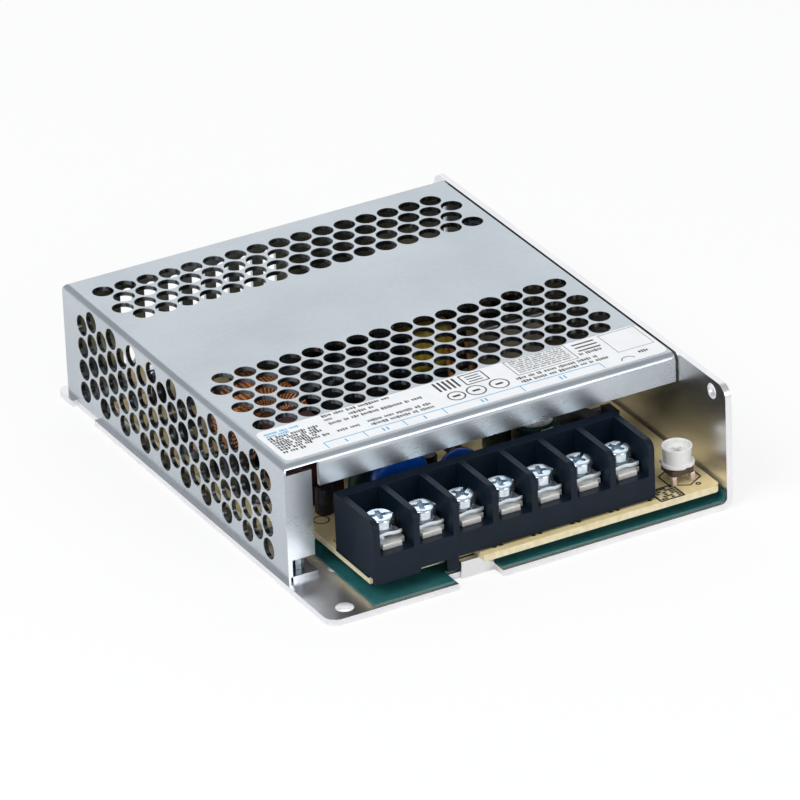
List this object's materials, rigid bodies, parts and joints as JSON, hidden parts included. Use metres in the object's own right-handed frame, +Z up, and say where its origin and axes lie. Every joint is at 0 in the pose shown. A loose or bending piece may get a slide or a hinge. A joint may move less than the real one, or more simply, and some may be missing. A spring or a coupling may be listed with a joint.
{
  "type": "power supply",
  "caption": "Enclosed switching power supply: L-shaped metal chassis, perforated folded cover, screw terminal block and a turnable voltage trimmer",
  "frame": {"origin": "centre of the footprint, on the underside of the chassis", "axes": "+X towards the full-height chassis wall, -Y towards the terminals, +Z up through the cover"},
  "size_m": [0.098, 0.1264, 0.029],
  "materials": {
    "aluminium_sheet": "satin",
    "coated_sheet": "satin",
    "zinc_steel": "satin",
    "nickel_contact": "satin",
    "label_film": "matte",
    "dark_film": "glossy",
    "laminate": "satin",
    "block_plastic": "satin",
    "trimmer_metal": "satin",
    "trimmer_ceramic": "matte",
    "trimmer_white": "satin",
    "dark_red_plastic": "satin",
    "dark_green_ceramic": "satin",
    "blue_ceramic": "glossy",
    "black_plastic": "satin",
    "capacitor_sleeve": "glossy",
    "ferrite": "matte",
    "copper": "glossy",
    "yellow_tape": "glossy"
  },
  "bodies": {
    "unit": {"board_screws": "zinc_steel", "board_standoffs": "zinc_steel", "bridge_rectifier": "black_plastic", "bulk_capacitor": "capacitor_sleeve", "chassis": "aluminium_sheet", "circuit_board": "laminate", "control_chip": "black_plastic", "cover": "coated_sheet", "cover_screws": "zinc_steel", "disc_capacitors": "blue_ceramic", "filter_capacitor": "dark_red_plastic", "fuse": "black_plastic", "inrush_thermistor": "dark_green_ceramic", "insulation_film": "dark_film", "line_choke_base": "black_plastic", "line_choke_core": "ferrite", "line_choke_winding": "copper", "optocouplers": "black_plastic", "output_capacitors": "capacitor_sleeve", "output_diode": "black_plastic", "output_heatsink": "aluminium_sheet", "output_inductor": "ferrite", "power_transistor": "black_plastic", "primary_heatsink": "aluminium_sheet", "rating_label": "label_film", "terminal_block": "block_plastic", "terminal_lock_washers": "zinc_steel", "terminal_plates": "nickel_contact", "terminal_screws": "zinc_steel", "terminal_washers": "zinc_steel", "transformer_bobbin": "black_plastic", "transformer_core": "ferrite", "transformer_leads": "copper", "transformer_winding": "yellow_tape", "trimmer_body": "trimmer_ceramic", "trimmer_legs": "trimmer_metal"},
    "trimmer": {"trimmer_knob": "trimmer_white"}
  },
  "joints": [
    {"name": "trimmer_turn", "type": "hinge", "parent": "unit", "child": "trimmer", "pos_m": [0.0404, -0.05455, 0.0092], "axis": [0, 0, 1], "range_deg": [-105, 105]}
  ]
}
